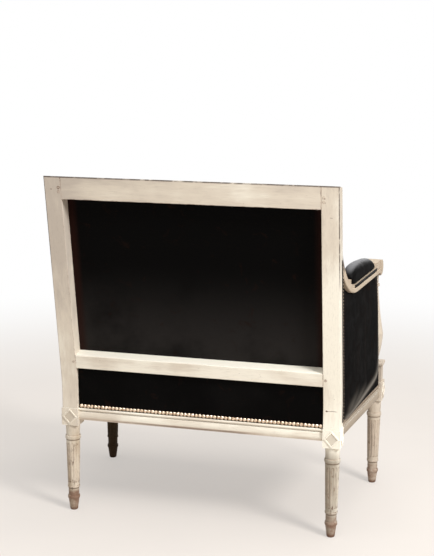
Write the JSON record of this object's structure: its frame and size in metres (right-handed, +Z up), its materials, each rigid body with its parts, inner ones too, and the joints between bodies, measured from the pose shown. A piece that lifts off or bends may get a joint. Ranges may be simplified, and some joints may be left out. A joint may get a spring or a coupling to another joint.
{
  "type": "bergere armchair",
  "caption": "Wide closed-arm bergere armchair with a raked panelled back, turned tapering legs, baluster arm supports, black leather, brass nailing and a loose seat cushion.",
  "frame": {"origin": "on the floor under the middle of the chair's width and depth", "axes": "+Z up, the front of the seat faces -Y, the back is toward +Y, the sitter's left is +X"},
  "size_m": [0.838, 0.5765, 0.9094],
  "materials": {
    "painted_wood": "worn cream paint",
    "raw_wood": "unfinished",
    "black_leather": "soft sheen",
    "jute": "woven",
    "brass_nails": "aged"
  },
  "bodies": {
    "frame": {"rear_post_left": "painted_wood", "rear_post_right": "painted_wood", "top_rail": "painted_wood", "mid_rail": "painted_wood", "rear_seat_rail": "painted_wood", "front_seat_rail": "painted_wood", "side_seat_rail_left": "painted_wood", "side_seat_rail_right": "painted_wood", "front_leg_left": "painted_wood", "front_leg_right": "painted_wood", "arm_support_left": "painted_wood", "arm_support_right": "painted_wood", "arm_left": "painted_wood", "arm_right": "painted_wood", "joint_pegs": "painted_wood", "arm_post_left": "raw_wood", "arm_post_right": "raw_wood", "corner_blocks": "raw_wood", "outside_back_panel": "black_leather", "lower_back_panel": "black_leather", "outside_arm_panel_left": "black_leather", "outside_arm_panel_right": "black_leather", "inside_back_pad": "black_leather", "inside_arm_pad_left": "black_leather", "inside_arm_pad_right": "black_leather", "arm_rest_left": "black_leather", "arm_rest_right": "black_leather", "seat_deck": "black_leather", "front_border": "black_leather", "back_webbing": "jute", "back_hessian": "jute", "seat_webbing_long": "jute", "seat_webbing_cross": "jute", "seat_hessian": "jute", "rear_nails": "brass_nails", "side_nails_left": "brass_nails", "side_nails_right": "brass_nails", "front_nails": "brass_nails"},
    "cushion": {"seat_cushion": "black_leather"}
  },
  "joints": [
    {"name": "cushion_lift", "type": "slide", "parent": "frame", "child": "cushion", "axis": [0, 0, 1], "range_m": [0, 0.4]}
  ]
}
